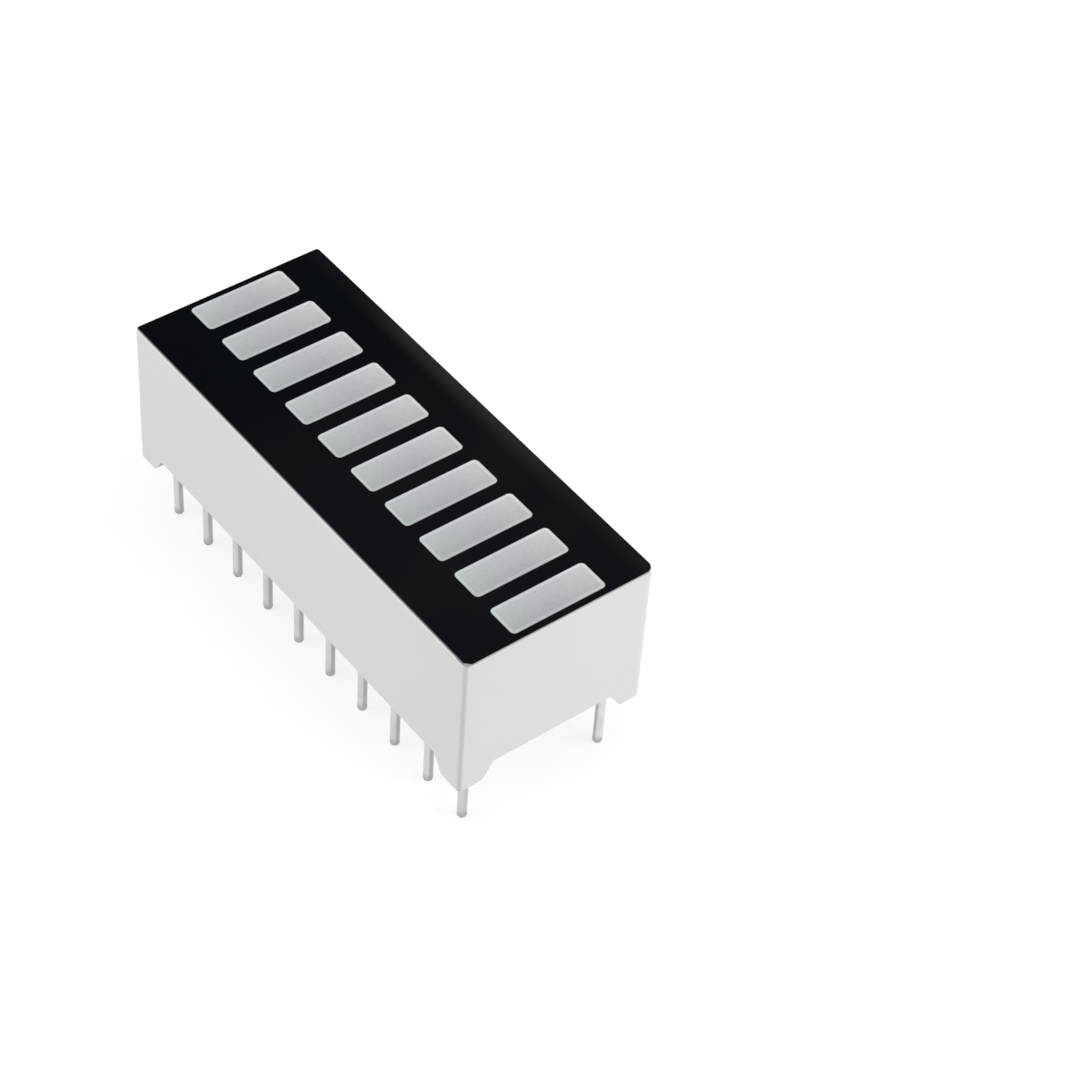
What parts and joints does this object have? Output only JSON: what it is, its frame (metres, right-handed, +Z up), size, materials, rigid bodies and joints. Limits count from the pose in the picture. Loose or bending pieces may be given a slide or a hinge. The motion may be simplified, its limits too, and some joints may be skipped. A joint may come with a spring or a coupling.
{
  "type": "led bar graph",
  "caption": "Rectangular light-bar display for a circuit board: a row of flat light bars in a black front, a white housing on corner feet, and two rows of round pins.",
  "frame": {"origin": "centre of the pin pattern on the seating plane, under the feet", "axes": "+X along the row of bars, +Y across it towards the side with the narrower black margin, +Z up through the front face"},
  "size_m": [0.0252, 0.01, 0.0116],
  "materials": {
    "white_plastic": "moulded white, low gloss",
    "black_face": "satin black",
    "bar_resin": "milky resin, satin",
    "board_laminate": "glass laminate with a green coating",
    "copper": "bare copper",
    "solder": "bright solder",
    "back_resin": "cast resin, clear with a milky tint",
    "chip": "diced crystal",
    "gold_wire": "gold",
    "tinned_pin": "tinned, satin"
  },
  "bodies": {
    "root": {"housing": "white_plastic", "face_film": "black_face", "circuit_board": "board_laminate", "copper_tracks": "copper", "solder_joints": "solder", "back_fill": "back_resin", "light_bar_01": "bar_resin", "light_bar_02": "bar_resin", "light_bar_03": "bar_resin", "light_bar_04": "bar_resin", "light_bar_05": "bar_resin", "light_bar_06": "bar_resin", "light_bar_07": "bar_resin", "light_bar_08": "bar_resin", "light_bar_09": "bar_resin", "light_bar_10": "bar_resin", "led_chip_01": "chip", "led_chip_02": "chip", "led_chip_03": "chip", "led_chip_04": "chip", "led_chip_05": "chip", "led_chip_06": "chip", "led_chip_07": "chip", "led_chip_08": "chip", "led_chip_09": "chip", "led_chip_10": "chip", "bond_wire_01": "gold_wire", "bond_wire_02": "gold_wire", "bond_wire_03": "gold_wire", "bond_wire_04": "gold_wire", "bond_wire_05": "gold_wire", "bond_wire_06": "gold_wire", "bond_wire_07": "gold_wire", "bond_wire_08": "gold_wire", "bond_wire_09": "gold_wire", "bond_wire_10": "gold_wire", "pin_01": "tinned_pin", "pin_02": "tinned_pin", "pin_03": "tinned_pin", "pin_04": "tinned_pin", "pin_05": "tinned_pin", "pin_06": "tinned_pin", "pin_07": "tinned_pin", "pin_08": "tinned_pin", "pin_09": "tinned_pin", "pin_10": "tinned_pin", "pin_11": "tinned_pin", "pin_12": "tinned_pin", "pin_13": "tinned_pin", "pin_14": "tinned_pin", "pin_15": "tinned_pin", "pin_16": "tinned_pin", "pin_17": "tinned_pin", "pin_18": "tinned_pin", "pin_19": "tinned_pin", "pin_20": "tinned_pin"}
  },
  "joints": []
}
